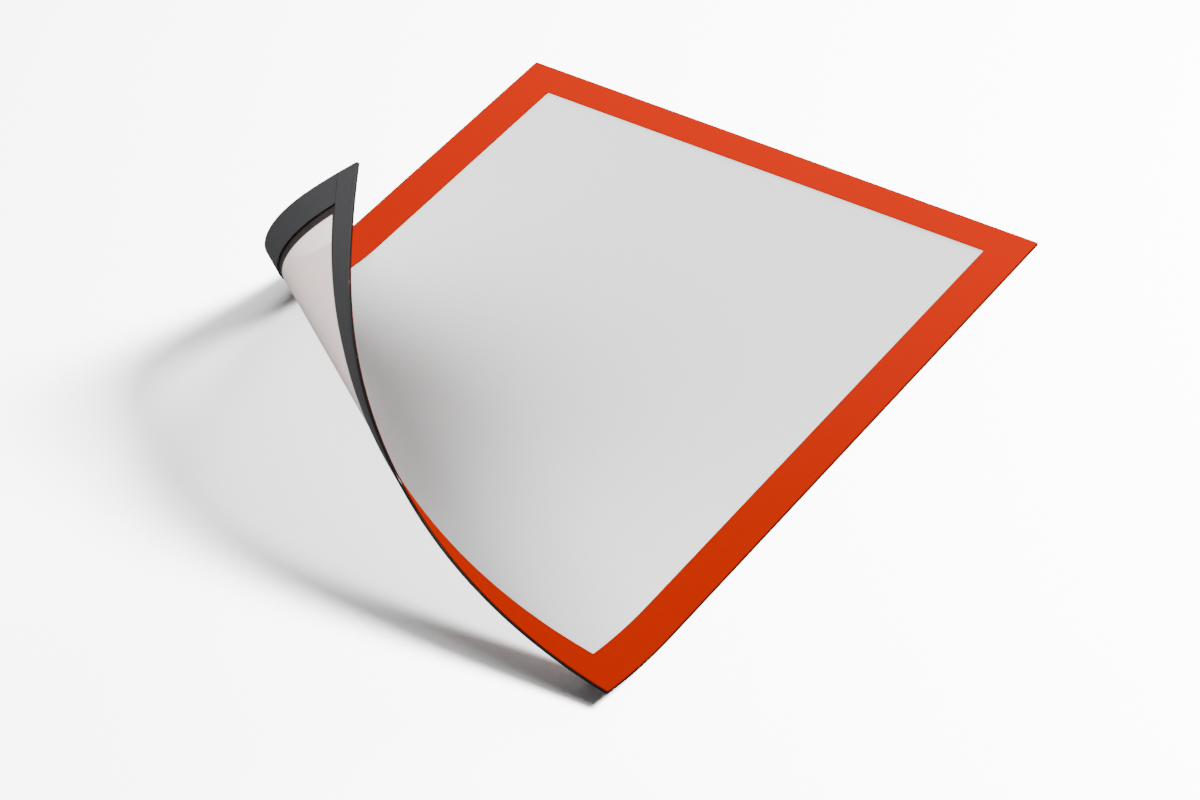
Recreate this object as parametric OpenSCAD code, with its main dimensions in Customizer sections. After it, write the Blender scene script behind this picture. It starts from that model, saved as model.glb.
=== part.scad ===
// Magnetic display frame for one sheet of paper: a flexible laminate of a coloured
// border, a dark liner, a clear window and four magnet strips, lying on its back with
// one corner lifted and curled over.
//
// The sheet is first laid out flat, with x to the right, y up and the origin at the
// centre of its outline. Its lower left corner is then bent over a fan of straight
// lines that all meet at one apex beyond the sheet, so the curl is part of a cone and
// no layer has to stretch. The back face keeps its true length. Between neighbouring
// lines of the fan the curl is one rigid length. The lengths are hinged to each other
// along the lines, and the first one turns about a line a quarter of its way in, where it
// rolls off the surface.

/* [Insert] */
// Width of the paper that the frame holds
insert_w = 210; // [148:1:297]
// Height of the paper that the frame holds
insert_h = 297; // [210:1:420]
// Play between the paper and the magnet strips, both sides together
insert_play = 1; // [0.5:0.1:3]

/* [Magnet strips] */
// Width of each magnet strip
magnet_w = 12.5; // [8:0.5:18]
// Thickness of each magnet strip
magnet_t = 0.7; // [0.5:0.05:1.2]
// Gap where a long strip butts against a short one
butt_gap = 0.2; // [0.1:0.05:0.5]
// Width of the adhesive tape that holds a strip
tape_w = 10; // [5:0.5:11.5]
// Thickness of the adhesive tape
tape_t = 0.1; // [0.05:0.01:0.2]

/* [Films] */
// Width of the coloured border
border_w = 15.8; // [13:0.1:30]
// Thickness of the coloured facing of the border
facing_t = 0.25; // [0.15:0.05:0.5]
// Thickness of the dark liner behind the facing
liner_t = 0.1; // [0.05:0.01:0.2]
// Thickness of the clear window film
window_t = 0.15; // [0.1:0.01:0.3]
// Gap between two bonded layers, so that their faces never cross
bond_gap = 0.003; // [0.001:0.001:0.01]

/* [Curl] */
// Distance from the left edge out to the apex of the fan
apex_out = 450; // [350:5:900]
// Distance from the top edge up to the apex of the fan
apex_up = 150; // [100:5:400]
// Share of the right edge, from the top, that stays flat
flat_share = 0.857; // [0.82:0.001:0.88]
// Angle that the curl turns through from the flat part to the lifted corner
curl_angle = 125.5; // [30:0.5:130]
// Gap between two rigid lengths of the curl at the left edge
seam_gap = 0.1; // [0.06:0.02:0.2]

/* [Hidden] */
// Relative turn of each rigid length, from the flat part to the lifted corner
turn_shares = [39, 36, 36, 35, 35, 32, 24, 13];
// Run from a corner to the bend line beside it
corner_run = 1.2;
// Facets along each rigid length
length_facets = 6;
// Two facet lines become one where the angle between them is less than this
same_line_angle = 0.015;
// Width under which the end of a plate is a plain edge
no_width = 0.001;
// Overrun of a cut past the faces that it opens
overrun = 0.05;

lengths = len(turn_shares);
last_length = lengths - 1;
sheet_w = insert_w + insert_play + 2 * magnet_w;
sheet_h = insert_h + insert_play + 2 * magnet_w;
right = sheet_w / 2;
top = sheet_h / 2;

// Heights of the layers above the back face
tape_z = magnet_t + bond_gap;
window_z = tape_z + tape_t + bond_gap;
liner_z = window_z + window_t + bond_gap;
facing_z = liner_z + liner_t + bond_gap;

// Rectangles on the flat sheet, each [[left, bottom], [right, top]]
outline = [[-right, -top], [right, top]];
opening = inset(outline, border_w);
long_strip_end = top - magnet_w - butt_gap;
top_strip = [[-right, top - magnet_w], [right, top]];
bottom_strip = [[-right, -top], [right, magnet_w - top]];
left_strip = [[-right, -long_strip_end], [magnet_w - right, long_strip_end]];
right_strip = [[right - magnet_w, -long_strip_end], [right, long_strip_end]];
tape_margin = (magnet_w - tape_w) / 2;
curled_rectangles = [
    outline, opening, bottom_strip, left_strip, right_strip,
    inset(bottom_strip, tape_margin), inset(left_strip, tape_margin), inset(right_strip, tape_margin)
];

// The fan: angles are measured clockwise from +X at the apex, then from its first line.
// The first length ends just past the lower right corner, and the last one starts just
// before the corner of the window, whatever the width of the border
apex = [-right - apex_out, top + apex_up];
first_line = line_to([right, top - flat_share * sheet_h]);
first_end = line_beyond([right, -top], corner_run);
last_start = line_beyond(opening[0], -corner_run);
fan_end = line_beyond([-right, -top], 0);
fan = concat(
    0,
    [for (k = [1 : last_length]) first_end + (last_start - first_end) * (k - 1) / (last_length - 1)],
    fan_end
);
seam_half = asin(seam_gap / 2 / apex_out);
corner_lines = lines_to_corners(curled_rectangles);

total_share = sum(turn_shares);
turns = [for (s = turn_shares) curl_angle * s / total_share];

// Axes of the sheet at the start of each length, as columns: across the lines of the
// fan, along them, and out of the front face
flat_axes = [
    [-sin(first_line), cos(first_line), 0],
    [-cos(first_line), -sin(first_line), 0],
    [0, 0, 1]
];
start_axes = [for (k = 0, axes = flat_axes; k < lengths; axes = axes * bend(k, fan[k + 1] - fan[k]), k = k + 1) axes];

function sum(list, i = 0) = i < len(list) ? list[i] + sum(list, i + 1) : 0;
function inset(rectangle, margin) = [rectangle[0] + [margin, margin], rectangle[1] - [margin, margin]];
function corners(rectangle) = [for (x = [0, 1], y = [0, 1]) [rectangle[x].x, rectangle[y].y]];
function line_to(point) = atan2(apex.y - point.y, point.x - apex.x);
function line_beyond(point, run) = line_to(point) - first_line + asin(run / norm(point - apex));

// Turn of the axes over a part of length k, for a steady bend about the lines of the fan
function bend(k, angle) =
    let (
        rate = turns[k] / (fan[k + 1] - fan[k]),
        speed = norm([1, rate]),
        spin = [[0, 1, -rate], [-1, 0, 0], [rate, 0, 0]] / speed
    )
    [[1, 0, 0], [0, 1, 0], [0, 0, 1]] + sin(speed * angle) * spin + (1 - cos(speed * angle)) * spin * spin;

// Point of the curled sheet at a distance from the apex and a height above the back face
function curled(k, angle, distance, height) =
    [apex.x, apex.y, 0] + start_axes[k] * bend(k, angle - fan[k]) * [0, distance, height];

// Where a line of the fan enters and leaves a rectangle, as distances from the apex
function reach(rectangle, angle) =
    let (
        across = cos(first_line + angle),
        down = sin(first_line + angle),
        near = max((rectangle[0].x - apex.x) / across, (apex.y - rectangle[1].y) / down),
        far = min((rectangle[1].x - apex.x) / across, (apex.y - rectangle[0].y) / down)
    )
    [near, max(near, far)];

function sorted(list) =
    len(list) < 2 ? list : let (
        pivot = list[floor(len(list) / 2)],
        below = [for (v = list) if (v < pivot) v],
        equal = [for (v = list) if (v == pivot) v],
        above = [for (v = list) if (v > pivot) v]
    )
    concat(sorted(below), equal, sorted(above));

// Facet lines of a plate within length k: even steps and every corner that any layer
// has there, so that layers which touch share their facets. The corners of the plate's
// own rectangles, the outer one first, are kept exactly
function facet_lines(k, rectangles) =
    let (
        outer = lines_to_corners([rectangles[0]]),
        own = lines_to_corners(rectangles),
        start = max(fan[k] + seam_half, min(outer)),
        end = min(fan[k + 1] - (k < last_length ? seam_half : 0), max(outer)),
        even = [for (i = [1 : length_facets - 1]) fan[k] + (fan[k + 1] - fan[k]) * i / length_facets],
        fixed = concat(start, end, [for (a = own) if (a > start + same_line_angle && a < end - same_line_angle) a]),
        free = sorted([for (a = concat(corner_lines, even)) if (a > start && a < end && clear_of(a, fixed)) a]),
        spaced = [for (i = [0 : 1 : len(free) - 1]) if (i == 0 || free[i] - free[i - 1] > same_line_angle) free[i]]
    )
    sorted(concat(fixed, spaced));

function clear_of(angle, list) = min([for (a = list) abs(a - angle)]) > same_line_angle;
function lines_to_corners(rectangles) = [for (r = rectangles, p = corners(r)) line_to(p) - first_line];

// Whether length k holds any of a rectangle
function holds(k, rectangle) =
    let (own = lines_to_corners([rectangle]))
    min(own) < fan[k + 1] - seam_half - same_line_angle && max(own) > fan[k] + seam_half + same_line_angle;

// Four distances along a line of the fan: where a plate starts, where a hole in it
// starts and ends, and where the plate ends. The first has no hole
function plate_reach(rectangle, angle) = let (r = reach(rectangle, angle)) [r[0], r[1], r[1], r[1]];
function ring_reach(rectangle, hole, angle) =
    let (
        r = reach(rectangle, angle),
        h = reach(hole, angle),
        hole_near = min(max(h[0], r[0]), r[1])
    )
    [r[0], hole_near, min(max(h[1], hole_near), r[1]), r[1]];

// Two triangles over four corners, with none that has come down to an edge
function quad(a, b, c, d) = [
    for (t = [[c, b, a], [d, c, a]])
        if (t[0] != t[1] && t[1] != t[2] && t[2] != t[0]) t
];

// A plate of the curled sheet, a thickness above a height, within length k. Each facet
// line has eight points, four distances at two heights, and equal points become one
module curled_solid(k, lines, reaches, low, thickness) {
    points = [
        for (i = [0 : len(lines) - 1], r = reaches[i], h = [low, low + thickness])
            curled(k, lines[i], r, h)
    ];
    last = len(lines) - 1;
    joined = [for (r = reaches) r[2] - r[1] < no_width];
    // Number of the point at line i, face h, lower or upper, and distance j
    place = [
        for (i = [0 : last]) let (
            r = reaches[i],
            one = r[1] - r[0] < no_width ? 0 : 1,
            two = r[2] - r[1] < no_width ? one : 2,
            three = r[3] - r[2] < no_width ? two : 3
        )
        [for (h = [0, 1]) [for (j = [0, one, two, three]) 8 * i + 2 * j + h]]
    ];
    caps = [
        for (j = [0, 2]) each concat(
            quad(place[0][0][j], place[0][1][j], place[0][1][j + 1], place[0][0][j + 1]),
            quad(place[last][0][j + 1], place[last][1][j + 1], place[last][1][j], place[last][0][j])
        )
    ];
    skins = [
        for (i = [0 : last - 1], j = [0, 2]) each concat(
            quad(place[i][0][j], place[i][0][j + 1], place[i + 1][0][j + 1], place[i + 1][0][j]),
            quad(place[i + 1][1][j], place[i + 1][1][j + 1], place[i][1][j + 1], place[i][1][j])
        )
    ];
    walls = [
        for (i = [0 : last - 1], j = [0 : 3])
            if (j == 0 || j == 3 || !(joined[i] && joined[i + 1])) each (
                j % 2 == 0
                    ? quad(place[i][1][j], place[i][0][j], place[i + 1][0][j], place[i + 1][1][j])
                    : quad(place[i][0][j], place[i][1][j], place[i + 1][1][j], place[i + 1][0][j])
            )
    ];
    polyhedron(points, concat(caps, skins, walls));
}

module curled_plate(k, rectangle, low, thickness) {
    if (holds(k, rectangle)) {
        lines = facet_lines(k, [rectangle]);
        curled_solid(k, lines, [for (a = lines) plate_reach(rectangle, a)], low, thickness);
    }
}

// A border round the window. Where the window parts it all along the length, it is two
// strips, and otherwise it is one piece round a corner of the window
module curled_border(k, low, thickness) {
    lines = facet_lines(k, [outline, opening]);
    reaches = [for (a = lines) ring_reach(outline, opening, a)];
    if (min([for (r = reaches) r[2] - r[1]]) > no_width) {
        curled_solid(k, lines, [for (r = reaches) [r[0], r[1], r[1], r[1]]], low, thickness);
        curled_solid(k, lines, [for (r = reaches) [r[2], r[3], r[3], r[3]]], low, thickness);
    } else curled_solid(k, lines, reaches, low, thickness);
}

// A plate of the part of the sheet that stays flat
module flat_plate(rectangle, low, thickness) {
    size = rectangle[1] - rectangle[0];
    beyond = 2 * (norm([sheet_w, sheet_h]) + norm([apex_out, apex_up]));
    cut = first_line - seam_half;
    intersection() {
        translate([rectangle[0].x, rectangle[0].y, low]) cube([size.x, size.y, thickness]);
        translate([apex.x, apex.y, low - overrun]) linear_extrude(thickness + 2 * overrun)
            polygon([[0, 0], beyond * [cos(cut), -sin(cut)], [beyond, 0]]);
    }
}

module flat_border(low, thickness) {
    difference() {
        flat_plate(outline, low, thickness);
        translate([opening[0].x, opening[0].y, low - overrun])
            cube([opening[1].x - opening[0].x, opening[1].y - opening[0].y, thickness + 2 * overrun]);
    }
}

module facing_flat() {
    color("#e04516") flat_border(facing_z, facing_t);
}

module facing(k) {
    color("#e04516") curled_border(k, facing_z, facing_t);
}

module liner_flat() {
    color("#3e3232") flat_border(liner_z, liner_t);
}

module liner(k) {
    color("#3e3232") curled_border(k, liner_z, liner_t);
}

module window_flat() {
    color("#d6d9d9", 0.6) flat_plate(outline, window_z, window_t);
}

module window(k) {
    color("#d6d9d9", 0.6) curled_plate(k, outline, window_z, window_t);
}

module tape_flat() {
    color("#e8e2d0") for (strip = [top_strip, right_strip, left_strip])
        flat_plate(inset(strip, tape_margin), tape_z, tape_t);
}

module tape(k) {
    color("#e8e2d0") for (strip = [bottom_strip, right_strip, left_strip])
        curled_plate(k, inset(strip, tape_margin), tape_z, tape_t);
}

module magnet_flat(strip) {
    color("#4b4b4d") flat_plate(strip, 0, magnet_t);
}

module magnet(k, strip) {
    color("#4b4b4d") curled_plate(k, strip, 0, magnet_t);
}

curl_range = [0 : last_length];

facing_flat();
liner_flat();
window_flat();
tape_flat();
magnet_flat(top_strip);  // magnet_top
magnet_flat(right_strip);  // magnet_right_flat
magnet_flat(left_strip);  // magnet_left_flat
magnet(0, right_strip);  // magnet_right_curl_1
for (k = curl_range) {
    facing(k);
    liner(k);
    window(k);
    tape(k);
    magnet(k, bottom_strip);
    magnet(k, left_strip);
}
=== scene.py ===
# Magnetic display frame: a flexible laminate that lies on its back, with its lower left
# corner peeled up and curled over.
#
# Every film and strip is laid out flat, cut along the bend lines of the curl, and then
# bent over them as a part of a cone, as part.scad does. A bent piece reaches from the
# middle of one rigid length to the middle of the next, so it carries the hinge line
# between them.
import math

import bmesh
import bpy
import numpy as np
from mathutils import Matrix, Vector


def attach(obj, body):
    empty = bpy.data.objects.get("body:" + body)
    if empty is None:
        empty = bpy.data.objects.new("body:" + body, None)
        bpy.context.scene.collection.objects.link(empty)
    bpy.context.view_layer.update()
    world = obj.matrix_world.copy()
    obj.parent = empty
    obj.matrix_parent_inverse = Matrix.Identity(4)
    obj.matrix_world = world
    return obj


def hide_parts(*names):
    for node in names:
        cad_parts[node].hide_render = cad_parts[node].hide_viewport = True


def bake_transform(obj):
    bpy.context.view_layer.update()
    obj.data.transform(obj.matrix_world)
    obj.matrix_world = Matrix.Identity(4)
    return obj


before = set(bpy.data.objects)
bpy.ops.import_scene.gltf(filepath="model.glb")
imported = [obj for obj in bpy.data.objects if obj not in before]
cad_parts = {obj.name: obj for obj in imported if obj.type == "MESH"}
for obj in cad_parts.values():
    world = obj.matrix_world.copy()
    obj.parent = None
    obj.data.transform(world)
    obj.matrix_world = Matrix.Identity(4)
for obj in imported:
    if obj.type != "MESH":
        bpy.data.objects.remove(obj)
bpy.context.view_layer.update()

# Sizes of the laminate in metres, the same as in part.scad
INSERT_W, INSERT_H, INSERT_PLAY = 0.210, 0.297, 0.001
MAGNET_W, MAGNET_T = 0.0125, 0.0007
BUTT_GAP = 0.0002
TAPE_W, TAPE_T = 0.010, 0.0001
BORDER_W, FACING_T = 0.0158, 0.00025
LINER_T, WINDOW_T = 0.0001, 0.00015
BOND_GAP = 0.000003
APEX_OUT, APEX_UP = 0.450, 0.150
FLAT_SHARE = 0.857
CURL_ANGLE = math.radians(125.5)
TURN_SHARES = (39, 36, 36, 35, 35, 32, 24, 13)
CORNER_RUN = 0.0012

LENGTHS = len(TURN_SHARES)
RIGHT = (INSERT_W + INSERT_PLAY) / 2 + MAGNET_W
TOP = (INSERT_H + INSERT_PLAY) / 2 + MAGNET_W
APEX = Vector((-RIGHT - APEX_OUT, TOP + APEX_UP, 0))
# Largest turn between two facets of a bent piece
FACET_TURN = math.radians(0.6)
# Angle past the lifted corner, where the last cut of the sheet meets nothing
PAST_CORNER = 0.01

# Heights of the layers above the back face
TAPE_Z = MAGNET_T + BOND_GAP
WINDOW_Z = TAPE_Z + TAPE_T + BOND_GAP
LINER_Z = WINDOW_Z + WINDOW_T + BOND_GAP
FACING_Z = LINER_Z + LINER_T + BOND_GAP
FRONT_Z = FACING_Z + FACING_T


# The fan of bend lines

def line_to(x, y):
    """Angle of the line from the apex to a point of the flat sheet, clockwise from +X."""
    return math.atan2(APEX.y - y, x - APEX.x)


FIRST_LINE = line_to(RIGHT, TOP - FLAT_SHARE * 2 * TOP)


def line_beyond(x, y, run):
    """Angle from the first bend line to the one a short run beyond a point."""
    distance = math.hypot(x - APEX.x, y - APEX.y)
    return line_to(x, y) - FIRST_LINE + math.asin(run / distance)


def bend_lines():
    """Angles of the bend lines from the first, one more than there are rigid lengths."""
    first = line_beyond(RIGHT, -TOP, CORNER_RUN)
    last = line_beyond(BORDER_W - RIGHT, BORDER_W - TOP, -CORNER_RUN)
    inner = [first + (last - first) * k / (LENGTHS - 2) for k in range(LENGTHS - 1)]
    return [0.0, *inner, line_beyond(-RIGHT, -TOP, 0)]


FAN = bend_lines()
TURNS = [CURL_ANGLE * share / sum(TURN_SHARES) for share in TURN_SHARES]


def flat_line(angle):
    """Directions across and along a bend line on the flat sheet."""
    a = FIRST_LINE + angle
    return Vector((-math.sin(a), -math.cos(a), 0)), Vector((math.cos(a), -math.sin(a), 0))


def bent_lines():
    """For each bend line: the directions across it, along it and out of the front face of
    the curled sheet, and the axis and speed at which the length after it turns."""
    across, along = flat_line(0)
    outward = Vector((0, 0, 1))
    lines = []
    for k in range(LENGTHS):
        span = FAN[k + 1] - FAN[k]
        rate = TURNS[k] / span
        speed = math.hypot(1, rate)
        axis = (along * -rate - outward) / speed
        lines.append((across, along, outward, axis, speed))
        turn = bend_matrix(axis, speed * span)
        across, along, outward = (
            Vector(turn @ np.array(v)) for v in (across, along, outward))
    return lines


def bend_matrix(axis, angle):
    """Matrix of a turn about an axis."""
    x, y, z = axis
    cross = np.array([[0, -z, y], [z, 0, -x], [-y, x, 0]])
    return np.eye(3) + math.sin(angle) * cross + (1 - math.cos(angle)) * cross @ cross


LINES = bent_lines()
MIDDLES = [(FAN[k] + FAN[k + 1]) / 2 for k in range(LENGTHS)]
# Where the bent pieces start and end: at the first line, at the middles, at the corner
CUTS = [0.0, *MIDDLES[:-1], FAN[-1] + PAST_CORNER]


# Nodes

def add(tree, kind, inputs=(), **settings):
    """Adds a node with its settings, and gives its inputs their values or links."""
    node = tree.nodes.new(kind)
    for name, value in settings.items():
        setattr(node, name, value)
    for name, value in dict(inputs).items():
        socket = node.inputs[name]
        if isinstance(value, bpy.types.NodeSocket):
            tree.links.new(value, socket)
        else:
            socket.default_value = value
    return node


BEND_INPUTS = (
    ("Apex", "NodeSocketVector"), ("Line Angle", "NodeSocketFloat"),
    ("Along Line", "NodeSocketVector"), ("Out of Face", "NodeSocketVector"),
    ("Axis Before", "NodeSocketVector"), ("Speed Before", "NodeSocketFloat"),
    ("Axis After", "NodeSocketVector"), ("Speed After", "NodeSocketFloat"),
    ("Material", "NodeSocketMaterial"),
)


def bend_tree():
    """Bends a flat piece over one line of the fan. The distance of a point from the apex
    and its height above the back face stay, and the line through it turns about the
    apex, at one speed before the bend line and another after it."""
    tree = bpy.data.node_groups.new("Bend over a line", "GeometryNodeTree")
    tree.interface.new_socket("Geometry", in_out="INPUT", socket_type="NodeSocketGeometry")
    for name, kind in BEND_INPUTS:
        tree.interface.new_socket(name, in_out="INPUT", socket_type=kind)
    tree.interface.new_socket("Geometry", in_out="OUTPUT", socket_type="NodeSocketGeometry")
    given = add(tree, "NodeGroupInput").outputs
    place = add(tree, "GeometryNodeInputPosition").outputs["Position"]
    from_apex = add(tree, "ShaderNodeVectorMath", {
        0: place, 1: given["Apex"]}, operation="SUBTRACT")
    parts = add(tree, "ShaderNodeSeparateXYZ", {0: from_apex.outputs[0]}).outputs
    on_sheet = add(tree, "ShaderNodeCombineXYZ", {"X": parts["X"], "Y": parts["Y"]})
    distance = add(tree, "ShaderNodeVectorMath", {
        0: on_sheet.outputs[0]}, operation="LENGTH")
    down = add(tree, "ShaderNodeMath", {0: parts["Y"], 1: -1.0}, operation="MULTIPLY")
    line = add(tree, "ShaderNodeMath", {
        0: down.outputs[0], 1: parts["X"]}, operation="ARCTAN2")
    beyond = add(tree, "ShaderNodeMath", {
        0: line.outputs[0], 1: given["Line Angle"]}, operation="SUBTRACT")
    after = add(tree, "FunctionNodeCompare", {
        0: beyond.outputs[0], 1: 0.0}, operation="GREATER_THAN")
    speed = add(tree, "GeometryNodeSwitch", input_type="FLOAT", inputs={
        "Switch": after.outputs[0],
        "False": given["Speed Before"], "True": given["Speed After"]})
    axis = add(tree, "GeometryNodeSwitch", input_type="VECTOR", inputs={
        "Switch": after.outputs[0],
        "False": given["Axis Before"], "True": given["Axis After"]})
    angle = add(tree, "ShaderNodeMath", {
        0: beyond.outputs[0], 1: speed.outputs[0]}, operation="MULTIPLY")
    reach = add(tree, "ShaderNodeVectorMath", {
        0: given["Along Line"], "Scale": distance.outputs["Value"]}, operation="SCALE")
    height = add(tree, "ShaderNodeVectorMath", {
        0: given["Out of Face"], "Scale": parts["Z"]}, operation="SCALE")
    unturned = add(tree, "ShaderNodeVectorMath", {
        0: reach.outputs[0], 1: height.outputs[0]}, operation="ADD")
    turned = add(tree, "ShaderNodeVectorRotate", rotation_type="AXIS_ANGLE", inputs={
        "Vector": unturned.outputs[0], "Axis": axis.outputs[0], "Angle": angle.outputs[0]})
    bent = add(tree, "ShaderNodeVectorMath", {
        0: turned.outputs[0], 1: given["Apex"]}, operation="ADD")
    placed = add(tree, "GeometryNodeSetPosition", {
        "Geometry": given["Geometry"], "Position": bent.outputs[0]})
    real = add(tree, "GeometryNodeRealizeInstances", {"Geometry": placed.outputs[0]})
    painted = add(tree, "GeometryNodeSetMaterial", {
        "Geometry": real.outputs[0], "Material": given["Material"]})
    add(tree, "NodeGroupOutput", {"Geometry": painted.outputs[0]})
    return tree


# Colours and finishes

def srgb(code):
    """Linear colour of an sRGB hex value."""
    values = [int(code[i:i + 2], 16) / 255 for i in (1, 3, 5)]
    linear = [v / 12.92 if v <= 0.04045 else ((v + 0.055) / 1.055) ** 2.4 for v in values]
    return (*linear, 1.0)


# The map that holds each point's place on the flat sheet in metres, and the attribute
# that is 1 on the faces of a layer's back
FLAT_MAP = "FlatSheet"
REAR_SIDE = "RearSide"


def finish_material(name):
    """A new material with its tree, its shader and the flat-sheet place of a point."""
    material = bpy.data.materials.new(name)
    material.use_nodes = True
    tree = material.node_tree
    place = add(tree, "ShaderNodeUVMap", uv_map=FLAT_MAP).outputs["UV"]
    return material, tree, tree.nodes["Principled BSDF"], place


def distance_outside(tree, place, margin):
    """How far a point lies outside the rectangle that is set in from the sheet's outline
    by a margin, negative inside it."""
    parts = add(tree, "ShaderNodeSeparateXYZ", {0: place}).outputs
    sides = []
    for name, half in (("X", RIGHT), ("Y", TOP)):
        side = add(tree, "ShaderNodeMath", {0: parts[name]}, operation="ABSOLUTE")
        sides.append(add(tree, "ShaderNodeMath", {
            0: side.outputs[0], 1: half - margin}, operation="SUBTRACT").outputs[0])
    farther = add(tree, "ShaderNodeMath", {0: sides[0], 1: sides[1]}, operation="MAXIMUM")
    return farther.outputs[0]


# Depth to which painted shade is laid along the cut edges of a film or strip
EDGE_SHADE_DEPTH = 0.00007


def paint_shade_on_cut_edges(tree, place, colour, edge_shade_colour, inner_margin):
    """Paints shade on the outer and inner cut edges of a border or strip: a darker tone on the
    edge walls and steps, for the shade that falls there.
    """
    runs = []
    for margin in (0.0, inner_margin):
        run = add(tree, "ShaderNodeMath", {
            0: distance_outside(tree, place, margin)}, operation="ABSOLUTE")
        runs.append(run.outputs[0])
    nearest = add(tree, "ShaderNodeMath", {0: runs[0], 1: runs[1]}, operation="MINIMUM")
    in_edge_shade = add(tree, "ShaderNodeMath", {
        0: nearest.outputs[0], 1: EDGE_SHADE_DEPTH}, operation="LESS_THAN")
    # Painted shade: the darker edge colour replaces the film's own colour along the cut edges
    mixed = add(tree, "ShaderNodeMixRGB", {
        "Fac": in_edge_shade.outputs[0], "Color1": colour, "Color2": srgb(edge_shade_colour)})
    return mixed.outputs[0]


def orange_film():
    """Pigmented PVC film, calendered against a fine grained roll: dead matt, with a grain
    in its tone. The grain is drawn 0.4 mm across, coarser than the real one, so that it
    shows. The die-cut edges are painted darker, as painted shade on their edge walls."""
    material, tree, shader, place = finish_material("calendered_pvc_orange")
    grain = add(tree, "ShaderNodeTexNoise", {
        "Vector": place, "Scale": 1 / 0.0004, "Detail": 3.0, "Roughness": 0.6})
    colour = add(tree, "ShaderNodeValToRGB", {"Fac": grain.outputs[0]})
    colour.color_ramp.elements[0].position = 0.35
    colour.color_ramp.elements[0].color = srgb("#bd1f01")
    colour.color_ramp.elements[1].position = 0.65
    colour.color_ramp.elements[1].color = srgb("#cf2201")
    bump = add(tree, "ShaderNodeBump", {
        "Strength": 0.25, "Distance": 0.00006, "Height": grain.outputs[0]})
    # Painted shade in a darker orange on the die-cut edges
    with_edge_shade = paint_shade_on_cut_edges(tree, place, colour.outputs[0], "#8a1a00", BORDER_W)
    tree.links.new(with_edge_shade, shader.inputs["Base Color"])
    tree.links.new(bump.outputs[0], shader.inputs["Normal"])
    shader.inputs["Roughness"].default_value = 0.55
    shader.inputs["Specular IOR Level"].default_value = 0.0
    return material


def brown_liner():
    """Opaque dark brown film with a printed back: dead matt, with faint ink mottle
    1.5 mm across."""
    material, tree, shader, place = finish_material("printed_liner_brown")
    mottle = add(tree, "ShaderNodeTexNoise", {
        "Vector": place, "Scale": 1 / 0.0015, "Detail": 4.0})
    colour = add(tree, "ShaderNodeValToRGB", {"Fac": mottle.outputs[0]})
    colour.color_ramp.elements[0].position = 0.3
    colour.color_ramp.elements[0].color = srgb("#2b201f")
    colour.color_ramp.elements[1].position = 0.7
    colour.color_ramp.elements[1].color = srgb("#372827")
    tree.links.new(colour.outputs[0], shader.inputs["Base Color"])
    shader.inputs["Roughness"].default_value = 0.7
    return material


# Shares of the light that pass each face of the window film unscattered, square on: in
# the opening, and bonded under the border
CLEAR_SHARE = 0.56
BONDED_SHARE = 0.998
# Shares of the scattered light that go on through the film: from outside on its etched
# front face, and elsewhere
ONWARD_FROM_FRONT = 0.2
ONWARD_ELSEWHERE = 0.76


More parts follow.
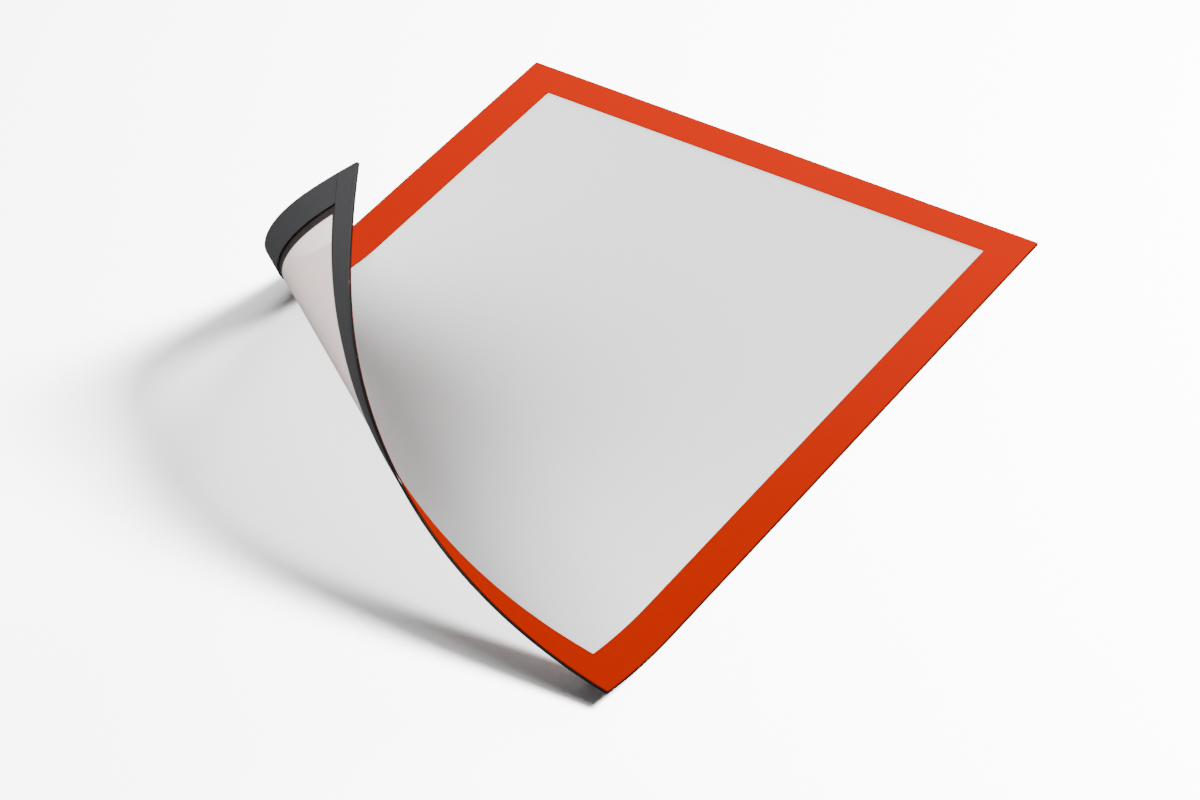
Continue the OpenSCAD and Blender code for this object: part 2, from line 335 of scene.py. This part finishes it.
def matt_window():
    """Clear rigid vinyl with an anti-glare etched front: a milky haze with a mottle
    0.6 mm across and a broad sheen. Seen from the smooth back its haze is painted faintly
    pink: a painted glow of the light that the orange border bounces onto it. Under the
    border the adhesive fills the etched face, so there it is clear."""
    material, tree, shader, place = finish_material("antiglare_vinyl_clear")
    mottle = add(tree, "ShaderNodeTexNoise", {
        "Vector": place, "Scale": 1 / 0.0006, "Detail": 3.0, "Roughness": 0.65})
    colour = add(tree, "ShaderNodeValToRGB", {"Fac": mottle.outputs[0]})
    colour.color_ramp.elements[0].position = 0.3
    colour.color_ramp.elements[0].color = srgb("#cbcdcd")
    colour.color_ramp.elements[1].position = 0.7
    colour.color_ramp.elements[1].color = srgb("#eef0f0")
    tree.links.new(colour.outputs[0], shader.inputs["Base Color"])
    shader.inputs["Roughness"].default_value = 1.0
    shader.inputs["Specular IOR Level"].default_value = 0.0
    rear = add(tree, "ShaderNodeAttribute", attribute_name=REAR_SIDE).outputs["Fac"]
    inside = add(tree, "ShaderNodeNewGeometry").outputs["Backfacing"]
    # On the back faces the haze is painted pink: a painted glow of light bounced off the
    # orange border
    haze_tone_and_painted_glow = add(tree, "ShaderNodeMixRGB", {
        "Fac": rear, "Color1": srgb("#e6e8e8"), "Color2": srgb("#f2c4ba")})
    haze = add(tree, "ShaderNodeBsdfTranslucent", {"Color": haze_tone_and_painted_glow.outputs[0]})
    clear = add(tree, "ShaderNodeBsdfTransparent", {"Color": srgb("#fbfcfc")})
    turned_away = add(tree, "ShaderNodeLayerWeight", {"Blend": 0.5}).outputs["Facing"]
    square_on = add(tree, "ShaderNodeMath", {0: 1.0, 1: turned_away}, operation="SUBTRACT")
    path = add(tree, "ShaderNodeMath", {0: 1.0, 1: square_on.outputs[0]}, operation="DIVIDE")
    bonded = add(tree, "ShaderNodeMath", {
        0: distance_outside(tree, place, BORDER_W), 1: 0.0}, operation="GREATER_THAN")
    share = add(tree, "ShaderNodeMath", {
        0: bonded.outputs[0], 1: BONDED_SHARE - CLEAR_SHARE,
        2: CLEAR_SHARE}, operation="MULTIPLY_ADD")
    unscattered = add(tree, "ShaderNodeMath", {
        0: share.outputs[0], 1: path.outputs[0]}, operation="POWER")
    elsewhere = add(tree, "ShaderNodeMath", {0: rear, 1: inside}, operation="MAXIMUM")
    onward = add(tree, "ShaderNodeMath", {
        0: elsewhere.outputs[0], 1: ONWARD_ELSEWHERE - ONWARD_FROM_FRONT,
        2: ONWARD_FROM_FRONT}, operation="MULTIPLY_ADD")
    scatter = add(tree, "ShaderNodeMixShader", {
        "Fac": onward.outputs[0], 1: shader.outputs[0], 2: haze.outputs[0]})
    film = add(tree, "ShaderNodeMixShader", {
        "Fac": unscattered.outputs[0], 1: scatter.outputs[0], 2: clear.outputs[0]})
    sheen = add(tree, "ShaderNodeBsdfGlossy", {"Roughness": 0.33})
    glance = add(tree, "ShaderNodeFresnel", {"IOR": 1.6})
    plain = add(tree, "ShaderNodeMath", {
        0: inside, 1: bonded.outputs[0]}, operation="MAXIMUM")
    outside = add(tree, "ShaderNodeMath", {0: 1.0, 1: plain.outputs[0]}, operation="SUBTRACT")
    outer_glance = add(tree, "ShaderNodeMath", {
        0: glance.outputs[0], 1: outside.outputs[0]}, operation="MULTIPLY")
    etched = add(tree, "ShaderNodeMixShader", {
        "Fac": outer_glance.outputs[0], 1: film.outputs[0], 2: sheen.outputs[0]})
    tree.links.new(etched.outputs[0], tree.nodes["Material Output"].inputs["Surface"])
    return material


def ferrite_rubber():
    """Ferrite-filled rubber, calendered and slit: dark grey, satin, with fine ferrite
    speckle drawn 0.3 mm across and a soft sheen at grazing angles. The slit edges, with
    the step at each strip's inner edge, are painted nearly black as painted shade."""
    material, tree, shader, place = finish_material("calendered_ferrite_rubber")
    speckle = add(tree, "ShaderNodeTexNoise", {
        "Vector": place, "Scale": 1 / 0.0003, "Detail": 2.0, "Roughness": 0.6})
    colour = add(tree, "ShaderNodeValToRGB", {"Fac": speckle.outputs[0]})
    colour.color_ramp.elements[0].position = 0.3
    colour.color_ramp.elements[0].color = srgb("#404042")
    colour.color_ramp.elements[1].position = 0.7
    colour.color_ramp.elements[1].color = srgb("#4c4c4f")
    bump = add(tree, "ShaderNodeBump", {
        "Strength": 0.2, "Distance": 0.00004, "Height": speckle.outputs[0]})
    # Painted shade, nearly black, on the slit edges and the strips' inner steps
    with_edge_shade = paint_shade_on_cut_edges(tree, place, colour.outputs[0], "#0c0c0d", MAGNET_W)
    tree.links.new(with_edge_shade, shader.inputs["Base Color"])
    tree.links.new(bump.outputs[0], shader.inputs["Normal"])
    shader.inputs["Roughness"].default_value = 0.45
    return material


def adhesive_tape():
    """Double-sided acrylic tape: a milky layer with fine bubbles 1.2 mm apart."""
    material, tree, shader, place = finish_material("acrylic_tape_milky")
    bubbles = add(tree, "ShaderNodeTexVoronoi", {"Vector": place, "Scale": 1 / 0.0012})
    colour = add(tree, "ShaderNodeValToRGB", {"Fac": bubbles.outputs["Distance"]})
    colour.color_ramp.elements[0].color = srgb("#d8d2bf")
    colour.color_ramp.elements[1].position = 0.5
    colour.color_ramp.elements[1].color = srgb("#e8e2d0")
    tree.links.new(colour.outputs[0], shader.inputs["Base Color"])
    shader.inputs["Roughness"].default_value = 0.35
    return material


# Laying out and cutting the layers

def inset(rectangle, margin):
    left, bottom, right, top = rectangle
    return (left + margin, bottom + margin, right - margin, top - margin)


def corner_points(bm, rectangle, height):
    left, bottom, right, top = rectangle
    places = ((left, bottom), (right, bottom), (right, top), (left, top))
    return [bm.verts.new((x, y, height)) for x, y in places]


def lay_plate(bm, rectangle, low, high):
    """Adds a plain plate to a flat layer."""
    under, over = (corner_points(bm, rectangle, z) for z in (low, high))
    bm.faces.new(reversed(under))
    bm.faces.new(over)
    for i in range(4):
        bm.faces.new((under[i], under[i - 3], over[i - 3], over[i]))


def lay_ring(bm, outer, hole, low, high):
    """Adds a border in one piece to a flat layer."""
    out_low, in_low, in_high, out_high = (
        corner_points(bm, rectangle, z)
        for rectangle, z in ((outer, low), (hole, low), (hole, high), (outer, high)))
    for i in range(4):
        j = i - 3
        for a, b in (
                (out_low, out_high), (out_high, in_high),
                (in_high, in_low), (in_low, out_low)):
            bm.faces.new((a[i], a[j], b[j], b[i]))


# Radius that the die and the slitter leave on the cut edges
FACING_EDGE = 0.00006
STRIP_EDGE = 0.0001
# Edges that turn more than the first are rounded, and more than the second stay crisp
SHARP_TURN = math.radians(60)
CRISP_TURN = math.radians(50)
# Two points are one where a cut finds them this close
SAME_POINT = 1e-8
# A face is on the back where its normal's height is under this
REAR_NORMAL = -0.5


def round_edges(bm, radius):
    """Rounds the cut edges of a layer."""
    sharp = [e for e in bm.edges if e.calc_face_angle(0) > SHARP_TURN]
    bmesh.ops.bevel(bm, geom=sharp, offset=radius, segments=2, profile=0.5, affect="EDGES")


def cut(bm, angle, keep=None):
    """Cuts a flat layer along a bend line and keeps both sides, or one."""
    bmesh.ops.bisect_plane(
        bm, geom=bm.verts[:] + bm.edges[:] + bm.faces[:], dist=SAME_POINT,
        plane_co=APEX, plane_no=flat_line(angle)[0],
        clear_inner=keep == "after", clear_outer=keep == "before")


def close_cuts(bm):
    bmesh.ops.holes_fill(bm, edges=[e for e in bm.edges if e.is_boundary], sides=0)


def as_piece(bm, name, material):
    """Makes a flat layer into an object, with the flat place of each point as its map
    and its back faces marked."""
    bmesh.ops.recalc_face_normals(bm, faces=bm.faces)
    flat_map = bm.loops.layers.uv.new(FLAT_MAP)
    rear_side = bm.faces.layers.float.new(REAR_SIDE)
    for face in bm.faces:
        face.smooth = True
        face[rear_side] = float(face.normal.z < REAR_NORMAL)
        for loop in face.loops:
            loop[flat_map].uv = loop.vert.co.xy
    for edge in bm.edges:
        edge.smooth = edge.calc_face_angle(0) < CRISP_TURN
    mesh = bpy.data.meshes.new(name)
    bm.to_mesh(mesh)
    bm.free()
    mesh.materials.append(material)
    piece = bpy.data.objects.new(name, mesh)
    bpy.context.scene.collection.objects.link(piece)
    return piece


def bend(piece, k, material):
    """Bends a piece over bend line k and keeps the result as its plain mesh."""
    modifier = piece.modifiers.new("Bend", "NODES")
    modifier.node_group = BEND_TREE
    axis_before, speed_before = LINES[max(k - 1, 0)][3:]
    along, outward, axis_after, speed_after = LINES[k][1:]
    values = (
        APEX, FIRST_LINE + FAN[k], along, outward,
        axis_before, speed_before, axis_after, speed_after, material)
    sockets = {
        s.name: s.identifier for s in BEND_TREE.interface.items_tree if s.in_out == "INPUT"}
    for (name, _), value in zip(BEND_INPUTS, values):
        modifier[sockets[name]] = value
    graph = bpy.context.evaluated_depsgraph_get()
    mesh = bpy.data.meshes.new_from_object(
        piece.evaluated_get(graph), preserve_all_data_layers=True, depsgraph=graph)
    piece.modifiers.clear()
    mesh.name = piece.name
    piece.data = mesh


def lay_layer(kind, shape, edge_radius, material, flat_node=None):
    """Makes one film or strip of the laminate, as a flat piece and its bent pieces. The
    bent piece past a strip's last node stands for that node too."""
    pieces = []
    whole = bmesh.new()
    shape(whole)
    if edge_radius:
        round_edges(whole, edge_radius)
    if flat_node:
        flat = whole.copy()
        cut(flat, 0.0, "before")
        close_cuts(flat)
        piece = as_piece(flat, kind + "_piece_flat", material)
        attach(piece, "flat_part")
        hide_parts(flat_node)
        pieces.append(piece)
    for k in range(LENGTHS):
        part = whole.copy()
        cut(part, CUTS[k], "after")
        cut(part, CUTS[k + 1], "before")
        if not part.faces:
            part.free()
            continue
        close_cuts(part)
        start, end = CUTS[k], min(CUTS[k + 1], FAN[-1])
        rate = max(TURNS[k] / (FAN[k + 1] - FAN[k]), 1)
        steps = math.ceil((end - start) * rate / FACET_TURN)
        for i in range(1, steps):
            cut(part, start + (end - start) * i / steps)
        piece = as_piece(part, f"{kind}_piece_{k + 1}", material)
        bend(piece, k, material)
        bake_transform(piece)
        node = f"{kind}_curl_{k + 1}"
        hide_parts(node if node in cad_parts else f"{kind}_curl_{k}")
        pieces.append(piece)
    whole.free()
    return pieces


# The studio

def aim(thing, direction):
    thing.rotation_euler = Vector(direction).to_track_quat("-Z", "Y").to_euler()


# Half the width of the table top, and how brightly the room shines on all things
TABLE_HALF = 6.0
ROOM_LEVEL = 0.15


def white_table():
    """White laminate table top, with half-metre clouds in its tone. It is overexposed,
    as a cut-out background is: it has lamps of its own, and gives the frame no light."""
    bm = bmesh.new()
    bmesh.ops.create_grid(bm, x_segments=8, y_segments=8, size=TABLE_HALF)
    mesh = bpy.data.meshes.new("table_top")
    bm.to_mesh(mesh)
    bm.free()
    table = bpy.data.objects.new("table_top", mesh)
    bpy.context.scene.collection.objects.link(table)
    material = bpy.data.materials.new("white_laminate")
    material.use_nodes = True
    tree = material.node_tree
    shader = tree.nodes["Principled BSDF"]
    place = add(tree, "ShaderNodeTexCoord").outputs["Object"]
    cloud = add(tree, "ShaderNodeTexNoise", {"Vector": place, "Scale": 1 / 0.5, "Detail": 2.0})
    colour = add(tree, "ShaderNodeValToRGB", {"Fac": cloud.outputs[0]})
    colour.color_ramp.elements[0].color = srgb("#f4f4f4")
    colour.color_ramp.elements[1].color = srgb("#f7f7f7")
    tree.links.new(colour.outputs[0], shader.inputs["Base Color"])
    shader.inputs["Roughness"].default_value = 0.6
    shader.inputs["Specular IOR Level"].default_value = 0.0
    mesh.materials.append(material)
    table.visible_diffuse = table.visible_glossy = False
    table.visible_transmission = table.visible_shadow = False
    return table


# Soft boxes for the border and magnets, and others for the window and for the table:
# azimuth and elevation in degrees, distance and width in metres, and the radiance that
# each gives flat white paper
BORDER_BOXES = {
    "key_right": (55, 45, 0.7, 0.40, 0.46),
    "key_back": (100, 36, 0.7, 0.40, 0.52),
    "fill_left": (200, 20, 1.2, 0.50, 0.07),
    "fill_front": (235, 45, 1.5, 0.90, 0.42),
}
WINDOW_BOXES = {
    "window_front": (238, 43, 1.5, 1.40, 5.5),
    "window_fill": (57, 40, 1.5, 1.00, 0.26),
}
TABLE_BOXES = {
    "table_key_right": (30, 50, 1.4, 0.42, 10.0),
    "table_key_back": (100, 24, 1.4, 0.40, 0.8),
    "table_top": (25, 70, 1.4, 0.60, 0.6),
}


def soft_box(name, azimuth, elevation, distance, width, level, things, link_state):
    """A square soft box that lights some things alone, or all but them. Its power gives
    flat white paper at the origin the radiance that is asked for."""
    data = bpy.data.lights.new(name, "AREA")
    data.shape = "SQUARE"
    data.size = width
    a, e = math.radians(azimuth), math.radians(elevation)
    direction = Vector((math.cos(e) * math.cos(a), math.cos(e) * math.sin(a), math.sin(e)))
    data.energy = level * math.pi ** 2 * distance ** 2 / math.sin(e)
    light = bpy.data.objects.new(name, data)
    bpy.context.scene.collection.objects.link(light)
    light.location = direction * distance
    aim(light, -direction)
    receivers = bpy.data.collections.new(name + "_receivers")
    for thing in things:
        receivers.objects.link(thing)
    for link in receivers.collection_objects:
        link.light_linking.link_state = link_state
    light.light_linking.receiver_collection = receivers


def studio(table, windows):
    world = bpy.data.worlds.new("studio")
    bpy.context.scene.world = world
    world.use_nodes = True
    background = world.node_tree.nodes["Background"]
    background.inputs["Color"].default_value = (1.0, 1.0, 1.0, 1.0)
    background.inputs["Strength"].default_value = ROOM_LEVEL
    for boxes, things, link_state in (
            (BORDER_BOXES, [table, *windows], "EXCLUDE"),
            (WINDOW_BOXES, windows, "INCLUDE"), (TABLE_BOXES, [table], "INCLUDE")):
        for name, values in boxes.items():
            soft_box(name, *values, things, link_state)


# The camera, as fitted to the edges in the photograph: pixels of its width, focal length
# in pixels, place in metres and direction of view
PHOTO_WIDTH = 1200
FOCAL_PIXELS = 5058.24
CAMERA_PLACE = (0.82477, -1.29063, 1.20062)
CAMERA_VIEW = (-0.415881, 0.662481, -0.623026)
SENSOR_WIDTH = 36.0


def camera():
    data = bpy.data.cameras.new("camera")
    data.sensor_width = SENSOR_WIDTH
    data.lens = FOCAL_PIXELS * SENSOR_WIDTH / PHOTO_WIDTH
    data.clip_start, data.clip_end = 0.05, 50
    view = bpy.data.objects.new("camera", data)
    bpy.context.scene.collection.objects.link(view)
    view.location = CAMERA_PLACE
    aim(view, CAMERA_VIEW)
    bpy.context.scene.camera = view


# The parts of the flat sheet, as left, bottom, right and top
OUTLINE = (-RIGHT, -TOP, RIGHT, TOP)
OPENING = inset(OUTLINE, BORDER_W)
LONG_END = TOP - MAGNET_W - BUTT_GAP
STRIPS = {
    "magnet_top": (-RIGHT, TOP - MAGNET_W, RIGHT, TOP),
    "magnet_bottom": (-RIGHT, -TOP, RIGHT, MAGNET_W - TOP),
    "magnet_left": (-RIGHT, -LONG_END, MAGNET_W - RIGHT, LONG_END),
    "magnet_right": (RIGHT - MAGNET_W, -LONG_END, RIGHT, LONG_END),
}
# The node of each strip's flat part. The bottom strip has none.
FLAT_STRIPS = {
    "magnet_top": "magnet_top", "magnet_bottom": None,
    "magnet_left": "magnet_left_flat", "magnet_right": "magnet_right_flat",
}


def lay_facing(bm):
    lay_ring(bm, OUTLINE, OPENING, FACING_Z, FRONT_Z)


def lay_liner(bm):
    lay_ring(bm, OUTLINE, OPENING, LINER_Z, FACING_Z)


def lay_window(bm):
    lay_plate(bm, OUTLINE, WINDOW_Z, LINER_Z)


def lay_tapes(bm):
    for strip in STRIPS.values():
        lay_plate(bm, inset(strip, (MAGNET_W - TAPE_W) / 2), TAPE_Z, WINDOW_Z)


# Making the frame and its studio

BEND_TREE = bend_tree()
camera()
facing, liner, window = orange_film(), brown_liner(), matt_window()
magnet, tape = ferrite_rubber(), adhesive_tape()
for material, slot in (
        (facing, "facing"), (liner, "liner"), (window, "window"), (magnet, "magnet"),
        (tape, "tape")):
    material["slot"] = slot

lay_layer("facing", lay_facing, FACING_EDGE, facing, "facing_flat")
lay_layer("liner", lay_liner, 0, liner, "liner_flat")
windows = lay_layer("window", lay_window, 0, window, "window_flat")
for name, strip in STRIPS.items():
    lay_layer(
        name, lambda bm: lay_plate(bm, strip, 0, MAGNET_T), STRIP_EDGE, magnet,
        FLAT_STRIPS[name])
lay_layer("tape", lay_tapes, 0, tape, "tape_flat")
studio(white_table(), windows)
